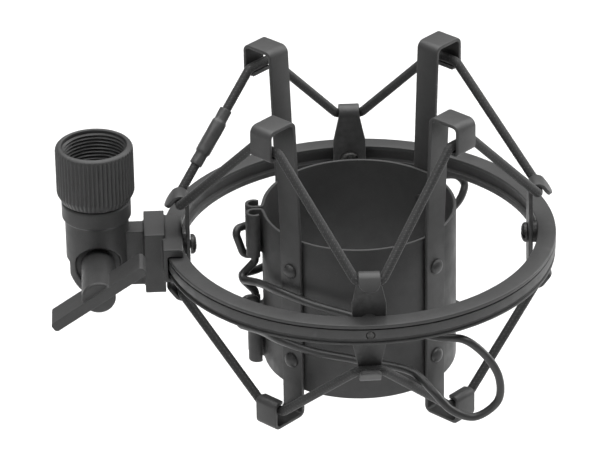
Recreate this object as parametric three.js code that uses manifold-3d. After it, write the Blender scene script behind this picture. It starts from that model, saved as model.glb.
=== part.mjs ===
// Spider suspension mount for a large side-address microphone.
// Millimetres, +Z up. The origin is the mouth of the stand thread.
// Every piece is drawn about the basket's axis, with Z = 0 on the ring's top face, and moved once at the end.
import * as THREE from "three";
import { mergeVertices } from "three/addons/utils/BufferGeometryUtils.js";
import Module from "manifold-3d";

// ---- driving dimensions ----
const rad = Math.PI / 180;
const gap = 0.3; // running gap between separate pieces
const seat = 0.15; // gap between pieces clamped together

const ringOuterR = 49;
const ringInnerR = 44.2;
const ringHeight = 5.4;
const ringMidZ = -ringHeight / 2;

const armLength = 65; // basket axis to collar axis
const boltZ = -4.7; // tilt bolt axis
const collarTopZ = 26;
const collarHeight = 14.6;
const collarR = 9.65;
const threadR = 7.6; // core radius of the 5/8 inch stand thread
const collarFloor = 4;
const postR = 7.9;
const postCapR = 8.6;
const postCapHeight = 4.9;
const neckR = 4.2;
const slotHalf = 3.2; // half width of the fork's slot
const tongueHalf = 2.9;
const tongueHalfHeight = 7.5;
const tongueEndR = 5.9; // round end inside the fork
const boltR = 3;
const bossR = 4.2;
const bossEndY = -22.6;
const counterboreR = 5.7;
const bladeLength = 27.6;
const bladeThick = 2.6;
const bladeDepth = 7.6;
const bladeTilt = 34; // degrees, as the handle is left
const bladeProud = 0.7; // how far it stands in front of the boss

const hookThick = 1;
const ringHookR = 42.6; // centre line of the hook's flat, spaced off the ring by its boss
const ringHookReach = 14.8; // half of the hook's height
const ringHookFoldR = 1.8; // centre line radius of the folded ends
const ringHookLean = 36 * rad; // the folded ends lean out by this much
const ringHookTipR = 47.8;
const ringHookBossR = 2.6;
const hookWide = 8.3; // at the ring
const hookNarrow = 5.3; // at the folds
const hookScrewR = 1.1;
const hookScrewHeadR = 2.5;

const shellR = 24.2;
const wall = 0.8;
const shellTopZ = 7;
const shellLowZ = -35;
const curlR = 1.7; // centre line of the rolled edge
const curlX = -26.1;
const curlY = 2.35;
const curlGapTopZ = -5;
const curlGapLowZ = -20;

const strapWidth = 6.5;
const strapThick = 1;
const strapTopZ = 40.7;
const strapLowZ = -41.3;
const strapTabR = 34.8;
const strapTopLipZ = 33.3;
const strapLowLipZ = -34.4;
const strapLip = 2.6;
const strapLean = 1.6;
const rivetZ = [-1.6, -26.7];
const rivetHeadR = 1.95;
const rivetShankR = 1;

const wireR = 1;
const cordR = 1.2;
const cordStrapR = 32.8;
const sleeveR = 1.95;
const sleeveLength = 15.8;

const strapR = shellR + seat + strapThick / 2;
// The cord touches both sides of a fold, so it lies on the line that halves the fold.
const foldR = ringHookR + ringHookFoldR;
const foldZ = ringHookReach - ringHookFoldR - hookThick / 2;
const foldDrop = (cordR + seat + hookThick / 2 - ringHookFoldR) / Math.sin(ringHookLean / 2);
const ringCordR = foldR + foldDrop * Math.sin(ringHookLean / 2);
const ringCordTopZ = ringMidZ + foldZ - foldDrop * Math.cos(ringHookLean / 2);
const ringCordLowZ = ringMidZ - foldZ + foldDrop * Math.cos(ringHookLean / 2);
const strapAngles = { front_left: 225, front_right: 315, rear_left: 135, rear_right: 45 };
const hookAngles = { left: 180, right: 0, front: 270, rear: 90 };

// ---- colours ----
const paint = { color: 0x303134, roughness: 0.55, metalness: 0.35 };
const darkPaint = { color: 0x2a2b2e, roughness: 0.5, metalness: 0.4 };
const wirePaint = { color: 0x2b2c2f, roughness: 0.4, metalness: 0.45 };
const blackedSteel = { color: 0x3a3b3e, roughness: 0.35, metalness: 0.8 };
const braid = { color: 0x2e2f30, roughness: 0.95, metalness: 0 };
const shrink = { color: 0x3f4144, roughness: 0.35, metalness: 0 };

// ---- solids ----
const wasm = await Module();
wasm.setup();

function solid(geometry) {
  const bare = geometry.clone();
  bare.deleteAttribute("normal");
  bare.deleteAttribute("uv");
  const merged = mergeVertices(bare, 1e-4);
  return new wasm.Manifold(
    new wasm.Mesh({
      numProp: 3,
      vertProperties: merged.attributes.position.array,
      triVerts: new Uint32Array(merged.index.array),
    }),
  );
}

function geometryOf(shape) {
  const mesh = shape.getMesh();
  const positions = new Float32Array(mesh.numVert * 3);
  for (let i = 0; i < mesh.numVert; i++) {
    positions.set(mesh.vertProperties.subarray(i * mesh.numProp, i * mesh.numProp + 3), i * 3);
  }
  const geometry = new THREE.BufferGeometry();
  geometry.setAttribute("position", new THREE.BufferAttribute(positions, 3));
  geometry.setIndex(new THREE.BufferAttribute(mesh.triVerts, 1));
  const faceted = geometry.toNonIndexed();
  faceted.computeVertexNormals();
  return faceted;
}

// A turned solid about the local Z axis from [radius, height] pairs that start and end on the axis.
function turned(profile, segments = 40) {
  const points = profile.map(([r, z]) => new THREE.Vector2(r, z));
  const geometry = new THREE.LatheGeometry(points, segments);
  geometry.rotateX(Math.PI / 2);
  return geometry;
}

function cylinder(radius, low, high, segments = 40) {
  return turned([[0, low], [radius, low], [radius, high], [0, high]], segments);
}

function box(low, high) {
  const size = high.map((value, i) => value - low[i]);
  const centre = high.map((value, i) => (value + low[i]) / 2);
  return new THREE.BoxGeometry(...size).translate(...centre);
}

// Points the local +Z axis along +Y (a bolt through the fork).
const alongY = (geometry) => geometry.rotateX(-Math.PI / 2);
// Points the local +Z axis outward along +X, then turns it to a compass angle.
const radially = (geometry, angle) => geometry.rotateY(Math.PI / 2).rotateZ(angle * rad);

// ---- paths ----
const vec = (point) => new THREE.Vector3(...point);
const onCircle = (radius, angle, side, z) => {
  const a = angle * rad;
  return new THREE.Vector3(
    radius * Math.cos(a) - side * Math.sin(a),
    radius * Math.sin(a) + side * Math.cos(a),
    z,
  );
};

// A run of stored points, so bends get many stations and straights get few.
class StoredPath extends THREE.Curve {
  constructor(points) {
    super();
    this.points = points;
  }
  getPoint(t, target = new THREE.Vector3()) {
    const place = t * (this.points.length - 1);
    const i = Math.min(Math.floor(place), this.points.length - 2);
    return target.copy(this.points[i]).lerp(this.points[i + 1], place - i);
  }
  getTangent(t, target = new THREE.Vector3()) {
    const last = this.points.length - 1;
    const i = Math.round(t * last);
    const before = this.points[Math.max(i - 1, 0)];
    const after = this.points[Math.min(i + 1, last)];
    return target.copy(after).sub(before).normalize();
  }
  getPointAt(t, target) {
    return this.getPoint(t, target);
  }
  getTangentAt(t, target) {
    return this.getTangent(t, target);
  }
}

// Replaces each inner corner of a polyline by an arc.
function filleted(corners, radius, arcSteps) {
  const result = [corners[0].clone()];
  for (let i = 1; i < corners.length - 1; i++) {
    const toPrevious = corners[i - 1].clone().sub(corners[i]);
    const toNext = corners[i + 1].clone().sub(corners[i]);
    const reach = 0.45 * Math.min(toPrevious.length(), toNext.length());
    toPrevious.normalize();
    toNext.normalize();
    const half = toPrevious.angleTo(toNext) / 2;
    const turn = Math.PI - 2 * half;
    if (turn < 0.03) {
      result.push(corners[i].clone());
      continue;
    }
    const tangent = Math.min(radius / Math.tan(half), reach);
    const arcR = tangent * Math.tan(half);
    const centre = toPrevious.clone().add(toNext).normalize();
    centre.multiplyScalar(arcR / Math.sin(half)).add(corners[i]);
    const start = toPrevious.clone().multiplyScalar(tangent).add(corners[i]).sub(centre);
    const end = toNext.clone().multiplyScalar(tangent).add(corners[i]).sub(centre);
    const steps = Math.max(1, Math.round((arcSteps * turn) / Math.PI));
    for (let k = 0; k <= steps; k++) {
      const share = k / steps;
      const a = Math.sin((1 - share) * turn) / Math.sin(turn);
      const b = Math.sin(share * turn) / Math.sin(turn);
      result.push(centre.clone().addScaledVector(start, a).addScaledVector(end, b));
    }
  }
  result.push(corners[corners.length - 1].clone());
  return result;
}

// Keeps a point of a smooth curve each time it has turned or run far enough.
function thinned(curve, turnLimit, lengthLimit) {
  const fine = curve.getPoints(1200);
  const kept = [fine[0]];
  let heading = fine[1].clone().sub(fine[0]).normalize();
  for (let i = 1; i < fine.length - 1; i++) {
    const ahead = fine[i + 1].clone().sub(fine[i]).normalize();
    const far = fine[i].distanceTo(kept[kept.length - 1]);
    if (far > 0.25 && (ahead.angleTo(heading) > turnLimit || far > lengthLimit)) {
      kept.push(fine[i]);
      heading = ahead;
    }
  }
  kept.push(fine[fine.length - 1]);
  return kept;
}

function tube(points, radius, sides) {
  const section = new THREE.Shape();
  for (let i = 0; i < sides; i++) {
    const a = (2 * Math.PI * i) / sides;
    const x = radius * Math.cos(a);
    const y = radius * Math.sin(a);
    if (i === 0) section.moveTo(x, y);
    else section.lineTo(x, y);
  }
  section.closePath();
  return new THREE.ExtrudeGeometry(section, {
    steps: points.length - 1,
    extrudePath: new StoredPath(points),
    bevelEnabled: false,
  });
}

// A bent flat bar: centre line in the radius-height plane, width across it at each station.
function bentBar(line, widthAt, thickness) {
  const rows = line.map((point, i) => {
    const before = line[Math.max(i - 1, 0)];
    const after = line[Math.min(i + 1, line.length - 1)];
    const along = after.clone().sub(before).normalize();
    const half = widthAt(i) / 2;
    const offX = (-along.z * thickness) / 2;
    const offZ = (along.x * thickness) / 2;
    return [
      [point.x + offX, -half, point.z + offZ],
      [point.x + offX, half, point.z + offZ],
      [point.x - offX, half, point.z - offZ],
      [point.x - offX, -half, point.z - offZ],
    ];
  });
  const positions = rows.flat(2);
  const indices = [];
  const quad = (a, b, c, d) => indices.push(a, c, b, a, d, c);
  for (let i = 0; i < rows.length - 1; i++) {
    for (let k = 0; k < 4; k++) {
      const next = (k + 1) % 4;
      quad(4 * i + k, 4 * i + next, 4 * i + 4 + next, 4 * i + 4 + k);
    }
  }
  const last = 4 * (rows.length - 1);
  quad(0, 3, 2, 1);
  quad(last, last + 1, last + 2, last + 3);
  const geometry = new THREE.BufferGeometry();
  geometry.setAttribute("position", new THREE.Float32BufferAttribute(positions, 3));
  geometry.setIndex(indices);
  return geometry;
}

// ---- stand adapter ----
function knurledCollar() {
  const low = collarTopZ - collarHeight;
  const floorZ = low + collarFloor;
  const profile = [
    [neckR + gap, low],
    [collarR - 0.7, low],
    [collarR, low + 2],
    [collarR, collarTopZ - 0.5],
    [collarR - 0.5, collarTopZ],
    [threadR + 0.6, collarTopZ],
    [threadR, collarTopZ - 0.6],
    [threadR, floorZ],
    [neckR + gap, floorZ],
    [neckR + gap, low],
  ];
  return turned(profile, 48).translate(-armLength, 0, 0);
}

function swivelPost() {
  const capTop = collarTopZ - collarHeight - gap;
  const neckTop = capTop + gap + collarFloor + 0.2;
  const body = solid(
    turned([
      [0, boltZ - postR],
      [postR, boltZ - postR],
      [postR, capTop - postCapHeight],
      [postCapR, capTop - postCapHeight + 0.4],
      [postCapR, capTop - 0.5],
      [postCapR - 0.5, capTop],
      [neckR, capTop],
      [neckR, neckTop],
      [0, neckTop],
    ], 48),
  );
  const round = solid(alongY(cylinder(postR, -postR - 1, postR + 1, 48)).translate(0, 0, boltZ));
  const above = solid(box([-12, -12, boltZ], [12, 12, neckTop + 1]));
  const slotLow = solid(box([-12, -slotHalf, boltZ - 12], [12, slotHalf, boltZ]));
  const slotRight = solid(box([0, -slotHalf, boltZ - 1], [12, slotHalf, boltZ + tongueHalfHeight + gap]));
  const slotRound = solid(alongY(cylinder(tongueEndR + gap, -slotHalf, slotHalf, 48)).translate(0, 0, boltZ));
  const boltHole = solid(alongY(cylinder(boltR + gap, -12, 12)).translate(0, 0, boltZ));
  const counterbore = solid(alongY(cylinder(counterboreR, -12, -postR + 2.9)).translate(0, 0, boltZ));
  const screwHole = solid(cylinder(2 + gap, neckTop - 8, neckTop + 1, 24));
  const shape = body
    .intersect(round.add(above))
    .subtract(slotLow.add(slotRight).add(slotRound))
    .subtract(boltHole)
    .subtract(counterbore)
    .subtract(screwHole);
  return geometryOf(shape).translate(-armLength, 0, 0);
}

function retainingScrew() {
  const headLow = collarTopZ - collarHeight + collarFloor + 0.5;
  const profile = [
    [0, headLow - 7.5],
    [2, headLow - 7.5],
    [2, headLow],
    [6, headLow],
    [6, headLow + 1.1],
    [5, headLow + 1.7],
    [0, headLow + 1.7],
  ];
  return turned(profile, 32).translate(-armLength, 0, 0);
}

function clampScrew() {
  const shank = solid(
    alongY(turned([
      [0, bossEndY],
      [bossR - 0.4, bossEndY],
      [bossR, bossEndY + 0.4],
      [bossR, -postR + 2.6],
      [boltR, -postR + 2.6],
      [boltR, postR - 0.6],
      [boltR - 0.4, postR - 0.2],
      [0, postR - 0.2],
    ])),
  );
  const outline = new THREE.Shape();
  const x = bladeLength / 2;
  const z = bladeThick / 2;
  const corner = 0.6;
  outline.moveTo(-x + corner, -z);
  outline.lineTo(x - corner, -z);
  outline.lineTo(x, -z + corner);
  outline.lineTo(x, z - corner);
  outline.lineTo(x - corner, z);
  outline.lineTo(-x + corner, z);
  outline.lineTo(-x, z - corner);
  outline.lineTo(-x, -z + corner);
  outline.closePath();
  const blade = new THREE.ExtrudeGeometry(outline, { depth: bladeDepth, bevelEnabled: false });
  blade.rotateX(Math.PI / 2);
  blade.translate(0, bossEndY + bladeDepth - bladeProud, 0);
  blade.rotateY(-bladeTilt * rad);
  return geometryOf(shank.add(solid(blade))).translate(-armLength, 0, boltZ);
}

// ---- ring frame ----
// Round end round the bolt, widening to the full height at the flange; the outline is in X and Z.
function tongueOutline(flangeX) {
  const widening = 7; // from the bolt to where the tongue has its full height
  const reach = Math.hypot(widening, tongueHalfHeight);
  const touch = Math.atan2(tongueHalfHeight, widening) + Math.acos(tongueEndR / reach);
  const outline = new THREE.Shape();
  outline.moveTo(flangeX, -tongueHalfHeight);
  outline.lineTo(flangeX, tongueHalfHeight);
  outline.lineTo(widening, tongueHalfHeight);
  const steps = 24;
  for (let i = 0; i <= steps; i++) {
    const a = touch + ((2 * Math.PI - 2 * touch) * i) / steps;
    outline.lineTo(tongueEndR * Math.cos(a), tongueEndR * Math.sin(a));
  }
  outline.lineTo(widening, -tongueHalfHeight);
  outline.closePath();
  return outline;
}

// The block over and under the ring reaches further on the handle's side.
function bracket() {
  const flangeIn = -48.4;
  const flangeOut = -53.5;
  const jawIn = -43.9;
  const jawLow = -6.6;
  const jawTop = 2.4;
  const jawFront = -12.3;
  const jawRear = 6.2;
  const round = 1;
  const tongueLength = flangeOut + 0.5 + armLength;
  const flatTongue = new THREE.ExtrudeGeometry(tongueOutline(tongueLength), {
    depth: 2 * tongueHalf,
    bevelEnabled: false,
  });
  flatTongue.rotateX(Math.PI / 2);
  const tongue = solid(flatTongue.translate(-armLength, tongueHalf, boltZ));
  const flange = solid(box([flangeOut, -6.5, boltZ - 7.9], [flangeIn, 6.5, boltZ + 8.3]));
  const jawOutline = new THREE.Shape();
  jawOutline.moveTo(flangeIn - 0.5, jawLow);
  jawOutline.lineTo(jawIn, jawLow);
  jawOutline.lineTo(jawIn, jawTop - round);
  jawOutline.lineTo(jawIn - 0.3 * round, jawTop - 0.3 * round);
  jawOutline.lineTo(jawIn - round, jawTop);
  jawOutline.lineTo(flangeIn - 0.5, jawTop);
  jawOutline.closePath();
  const jawBlock = new THREE.ExtrudeGeometry(jawOutline, { depth: jawRear - jawFront, bevelEnabled: false });
  jawBlock.rotateX(Math.PI / 2);
  const jaws = solid(jawBlock.translate(0, jawRear, 0));
  const groove = solid(turned([
    [ringInnerR - 8, -ringHeight - gap],
    [ringOuterR + gap, -ringHeight - gap],
    [ringOuterR + gap, gap],
    [ringInnerR - 8, gap],
    [ringInnerR - 8, -ringHeight - gap],
  ], 96));
  const bolt = solid(alongY(cylinder(boltR + gap, -12, 12)).translate(-armLength, 0, boltZ));
  const screw = solid(radially(cylinder(hookScrewR + gap, ringOuterR - 2, 52.3, 20), hookAngles.left))
    .translate([0, 0, ringMidZ]);
  return geometryOf(
    tongue.add(flange).add(jaws).subtract(groove).subtract(bolt).subtract(screw),
  );
}

function outerRing() {
  const profile = [
    [ringInnerR, -ringHeight],
    [ringOuterR, -ringHeight],
    [ringOuterR, -4.6],
    [ringOuterR - 0.4, -4.3],
    [ringOuterR - 0.4, -1.7],
    [ringOuterR - 0.8, -1.5],
    [ringOuterR - 0.8, -1.1],
    [ringOuterR, -0.9],
    [ringOuterR, -0.3],
    [ringOuterR - 0.3, 0],
    [ringInnerR + 0.5, 0],
    [ringInnerR + 0.2, -0.3],
    [ringInnerR + 0.2, -0.8],
    [ringInnerR + 1, -1.1],
    [ringInnerR + 1, -3.7],
    [ringInnerR, -4],
    [ringInnerR, -ringHeight],
  ];
  let shape = solid(turned(profile, 112));
  for (const angle of Object.values(hookAngles)) {
    const hole = solid(radially(cylinder(hookScrewR + gap, ringInnerR - 4, ringOuterR + 4, 20), angle));
    shape = shape.subtract(hole.translate([0, 0, ringMidZ]));
  }
  return geometryOf(shape);
}

// Half of a hook's centre line, from its middle over the fold to the tip, as [radius, height] pairs.
function hookHalfLine() {
  const steps = 8;
  const points = [[ringHookR, ringHeight]];
  for (let i = 0; i <= steps; i++) {
    const a = Math.PI + ((ringHookLean - Math.PI) * i) / steps;
    points.push([foldR + ringHookFoldR * Math.cos(a), foldZ + ringHookFoldR * Math.sin(a)]);
  }
  const [foldEndR, foldEndZ] = points.at(-1);
  const tabLength = (ringHookTipR - foldEndR) / Math.sin(ringHookLean);
  for (const fromTip of [hookNarrow / 2, 1.4, 0.7, 0.25]) {
    const along = tabLength - fromTip;
    points.push([foldEndR + along * Math.sin(ringHookLean), foldEndZ - along * Math.cos(ringHookLean)]);
  }
  return points;
}

// Wide at the screw, narrow at the folded ends, which lean out and finish in rounded tips.
function ringHook(angle) {
  const half = hookHalfLine();
  const mirrored = half.map(([r, z]) => [r, -z]).reverse();
  const line = [...mirrored, ...half].map(([r, z]) => new THREE.Vector3(r, 0, z + ringMidZ));
  const width = (i) => {
    const { x, z } = line[i];
    const fromTip = (ringHookTipR - x) / Math.sin(ringHookLean);
    if (fromTip < hookNarrow / 2) {
      return 2 * Math.sqrt((hookNarrow / 2) ** 2 - (hookNarrow / 2 - fromTip) ** 2);
    }
    const share = (Math.abs(z - ringMidZ) - ringHeight) / (foldZ - ringHeight);
    return x > foldR ? hookNarrow : hookWide + (hookNarrow - hookWide) * THREE.MathUtils.clamp(share, 0, 1);
  };
  const boss = solid(radially(cylinder(ringHookBossR, ringHookR, ringInnerR - gap, 24), 0));
  const hole = solid(radially(cylinder(hookScrewR + gap, ringHookR - 3, ringHookR + 3, 20), 0));
  const shape = solid(bentBar(line, width, hookThick))
    .add(boss.translate([0, 0, ringMidZ]))
    .subtract(hole.translate([0, 0, ringMidZ]));
  return geometryOf(shape).rotateZ(angle * rad);
}

// Dome head inside the ring, plain end flush with the outside.
function hookScrew(angle) {
  const under = ringHookR - hookThick / 2 - seat;
  const end = angle === hookAngles.left ? 52 : ringOuterR + 0.1;
  const profile = [
    [0, under - 1.5],
    [hookScrewHeadR - 0.9, under - 1.4],
    [hookScrewHeadR - 0.2, under - 0.8],
    [hookScrewHeadR, under - 0.3],
    [hookScrewHeadR, under],
    [hookScrewR, under],
    [hookScrewR, end],
    [0, end],
  ];
  return radially(turned(profile, 24), angle).translate(0, 0, ringMidZ);
}

// ---- basket ----
function basketShell() {
  const line = [];
  const arc = (cx, cy, r, from, to, steps) => {
    for (let i = 0; i <= steps; i++) {
      const a = (from + ((to - from) * i) / steps) * rad;
      line.push([cx + r * Math.cos(a), cy + r * Math.sin(a)]);
    }
  };
  const midR = shellR - wall / 2;
  const bend = 1;
  const mouthY = curlY - curlR;
  const joinAngle = 7;
  arc(curlX, -curlY, curlR, -50, -270, 16);
  arc(-midR - 0.1 - bend, -mouthY - bend, bend, 90, 10, 4);
  arc(0, 0, midR, 180 + joinAngle, 360, 44);
  const half = line.slice(0, -1);
  const last = line[line.length - 1];
  const full = [...half, last, ...half.map(([x, y]) => [x, -y]).reverse()];
  const left = [];
  const right = [];
  full.forEach(([x, y], i) => {
    const before = full[Math.max(i - 1, 0)];
    const after = full[Math.min(i + 1, full.length - 1)];
    const length = Math.hypot(after[0] - before[0], after[1] - before[1]);
    const nx = (-(after[1] - before[1]) / length) * (wall / 2);
    const ny = ((after[0] - before[0]) / length) * (wall / 2);
    left.push(new THREE.Vector2(x + nx, y + ny));
    right.push(new THREE.Vector2(x - nx, y - ny));
  });
  const outline = new THREE.Shape([...left, ...right.reverse()]);
  const height = shellTopZ - shellLowZ;
  const tall = new THREE.ExtrudeGeometry(outline, { depth: height, bevelEnabled: false });
  let shape = solid(tall.translate(0, 0, shellLowZ));
  const window = box([curlX - 5, -6, curlGapLowZ], [-midR - 0.35, 6, curlGapTopZ]);
  shape = shape.subtract(solid(window));
  for (const angle of Object.values(strapAngles)) {
    for (const z of rivetZ) {
      const hole = solid(radially(cylinder(rivetShankR + gap, shellR - 4, shellR + 3, 16), angle));
      shape = shape.subtract(hole.translate([0, 0, z]));
    }
  }
  return geometryOf(shape);
}

function strap(angle) {
  const topR = strapR + strapLean;
  const corners = [
    [strapTabR - strapLip, strapLowLipZ - 0.5],
    [strapTabR, strapLowLipZ],
    [strapTabR, strapLowZ],
    [strapR, strapLowZ],
    [strapR, shellTopZ],
    [topR, strapTopZ],
    [strapTabR, strapTopZ],
    [strapTabR, strapTopLipZ],
    [strapTabR - strapLip, strapTopLipZ],
  ].map(([r, z]) => new THREE.Vector3(r, 0, z));
  const line = filleted(corners, 1.1, 8);
  let shape = solid(bentBar(line, () => strapWidth, strapThick));
  for (const z of rivetZ) {
    const hole = solid(radially(cylinder(rivetShankR + gap, strapR - 3, strapR + 3, 16), 0));
    shape = shape.subtract(hole.translate([0, 0, z]));
  }
  return geometryOf(shape).rotateZ(angle * rad);
}

// Dome head outside the strap, flat formed end inside the shell.
function rivet(angle, z) {
  const under = strapR + strapThick / 2 + seat;
  const inside = shellR - wall - seat - 0.1;
  const profile = [
    [0, inside - 0.3],
    [1.7, inside - 0.3],
    [1.7, inside],
    [rivetShankR, inside],
    [rivetShankR, under],
    [rivetHeadR, under],
    [rivetHeadR, under + 0.3],
    [rivetHeadR * 0.8, under + 0.8],
    [rivetHeadR * 0.4, under + 1.15],
    [0, under + 1.2],
  ];
  return radially(turned(profile, 20), angle).translate(0, 0, z);
}

// ---- squeeze handles ----
const frontLoop = [
  [-25.4, -9.6, -9.2],
  [-20.6, -18.4, -6.9],
  [-12, -25.4, -7.2],
  [-3.2, -28.4, -8.8],
  [8, -32, -11],
  [17.6, -38.6, -9.9],
  [23.2, -42, -8.9],
  [28.7, -42, -14.1],
  [31.6, -42, -20.2],
  [31.2, -42, -26.4],
  [25.6, -42, -30.6],
  [20, -42.2, -28.4],
  [15.4, -40.4, -23.8],
  [11, -35.2, -21.4],
  [-2.5, -28.8, -21],
  [-12.5, -25.2, -20.4],
  [-20.6, -18.4, -20.8],
  [-25.4, -9.6, -22.8],
];
const rearLoop = [
  [-25.4, 9.2, -2.2],
  [-19.2, 18.9, -5],
  [-10.4, 24.9, -6],
  [-1, 28.6, -7.2],
  [8, 33.4, -8.2],
  [16.5, 39.4, -9],
  [23.5, 44, -9.3],
  [28, 44.8, -9.9],
  [29.8, 44.4, -12],
  [29.4, 43, -13.6],
  [28, 41.4, -15.6],
  [24.7, 39.4, -17.8],
  [20, 36.8, -18.2],
  [14, 33.2, -17.2],
  [8, 30.6, -16.2],
  [-1, 28, -16.4],
  [-10.4, 24.9, -17.8],
  [-19.2, 18.9, -18],
  [-25.4, 9.2, -15.8],
];

// The straight pin goes under the rolled edge; the hooked pin goes round its end.
function wireHandle(side, loop, straightPin, hookedPin) {
  const place = ([x, y, z]) => new THREE.Vector3(x, side * y, z);
  const start = straightPin.map(place);
  const finish = hookedPin.map(place).reverse();
  const first = filleted([...start, vec(loop[side > 0 ? loop.length - 1 : 0])], 1.5, 10);
  const last = filleted([vec(loop[side > 0 ? 0 : loop.length - 1]), ...finish], 1.5, 10);
  const middle = side > 0 ? loop.toReversed().map(vec) : loop.map(vec);
  const lead = first[first.length - 2];
  const trail = last[1];
  const spline = new THREE.CatmullRomCurve3([lead, ...middle, trail], false, "centripetal");
  const points = [
    ...first.slice(0, -1),
    ...thinned(spline, 0.17, 6).slice(1, -1),
    ...last.slice(1),
  ];
  return tube(points, wireR, 10);
}

function frontHandle() {
  const straight = [[curlX, curlY, -1.2], [curlX, curlY, -6.9], [-30.4, 3, -11.4]];
  const hooked = [[curlX, curlY, -23.6], [curlX, curlY, -17.4], [-28.8, 2.6, -17.4], [-31, 2.8, -24.4]];
  return wireHandle(-1, frontLoop, straight, hooked);
}

function rearHandle() {
  const straight = [[curlX, curlY, -23.8], [curlX, curlY, -18.1], [-30.4, 3, -13.6]];
  const hooked = [[curlX, curlY, -1.4], [curlX, curlY, -7.6], [-28.8, 2.6, -7.6], [-31, 2.8, -0.6]];
  return wireHandle(1, rearLoop, straight, hooked);
}

// ---- elastic cords ----
const strapExit = strapWidth / 2 + 0.5;
const hookExit = 3.1;
const cordStrapTopZ = strapTopLipZ + strapThick / 2 + cordR + seat;
const cordStrapLowZ = strapLowLipZ - 0.5 - strapThick / 2 - cordR - seat;

// Corner points of one cord, starting at the strap at the given angle and going round once.
function cordCorners(strapZ, hookZ, firstStrap) {
  const corners = [];
  for (let i = 0; i < 4; i++) {
    const strapAngle = firstStrap + 90 * i;
    const hookAngle = strapAngle + 45;
    corners.push(onCircle(cordStrapR, strapAngle, -strapExit, strapZ));
    corners.push(onCircle(cordStrapR, strapAngle, strapExit, strapZ));
    corners.push(onCircle(ringCordR, hookAngle, -hookExit, hookZ));
    corners.push(onCircle(ringCordR, hookAngle, hookExit, hookZ));
  }
  return corners;
}

// The two ends of the cord meet in the sleeve, on the run after the first strap.
function cordPlan(strapZ, hookZ, firstStrap, share) {
  const corners = cordCorners(strapZ, hookZ, firstStrap);
  const from = corners[1];
  const to = corners[2];
  const along = to.clone().sub(from).normalize();
  const middle = from.clone().lerp(to, share);
  return { corners, along, middle };
}

function cord({ corners, along, middle }) {
  const half = 0.2;
  const path = [
    middle.clone().addScaledVector(along, half),
    ...corners.slice(2),
    ...corners.slice(0, 2),
    middle.clone().addScaledVector(along, -half),
  ];
  return tube(filleted(path, 1.8, 12), cordR, 8);
}

function sleeve({ along, middle }) {
  const half = sleeveLength / 2;
  const bore = cordR + 0.2;
  const neck = sleeveR - 0.25;
  const neckLength = 3.2;
  const profile = [
    [bore, -half],
    [neck, -half],
    [neck, -half + neckLength],
    [sleeveR, -half + neckLength + 0.5],
    [sleeveR, half - neckLength - 0.5],
    [neck, half - neckLength],
    [neck, half],
    [bore, half],
    [bore, -half],
  ];
  const geometry = turned(profile, 20);
  const turn = new THREE.Quaternion().setFromUnitVectors(new THREE.Vector3(0, 0, 1), along);
  return geometry.applyQuaternion(turn).translate(...middle.toArray());
}

// ---- assembly ----
const part = new THREE.Group();
part.name = "suspension_mount";
part.position.set(armLength, 0, -collarTopZ);

function place(name, geometry, look) {
  const mesh = new THREE.Mesh(geometry, new THREE.MeshStandardMaterial(look));
  mesh.name = name;
  part.add(mesh);
}

place("knurled_collar", knurledCollar(), darkPaint);
place("retaining_screw", retainingScrew(), blackedSteel);
place("swivel_post", swivelPost(), paint);
place("clamp_screw", clampScrew(), paint);
place("ring_bracket", bracket(), paint);
place("outer_ring", outerRing(), paint);
for (const [name, angle] of Object.entries(hookAngles)) {
  place("ring_hook_" + name, ringHook(angle), paint);
  place("hook_screw_" + name, hookScrew(angle), blackedSteel);
}
place("basket_shell", basketShell(), paint);
for (const [name, angle] of Object.entries(strapAngles)) {
  place("strap_" + name, strap(angle), paint);
  place("rivet_upper_" + name, rivet(angle, rivetZ[0]), darkPaint);
  place("rivet_lower_" + name, rivet(angle, rivetZ[1]), darkPaint);
}
place("front_handle", frontHandle(), wirePaint);
place("rear_handle", rearHandle(), wirePaint);
const upperCord = cordPlan(cordStrapTopZ, ringCordTopZ, strapAngles.rear_left, 0.545);
const lowerCord = cordPlan(cordStrapLowZ, ringCordLowZ, strapAngles.rear_right, 0.5);
place("upper_elastic", cord(upperCord), braid);
place("upper_sleeve", sleeve(upperCord), shrink);
place("lower_elastic", cord(lowerCord), braid);
place("lower_sleeve", sleeve(lowerCord), shrink);

export default part;
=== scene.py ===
import math

import bmesh
import bpy
import numpy as np
from mathutils import Matrix, Vector


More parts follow.
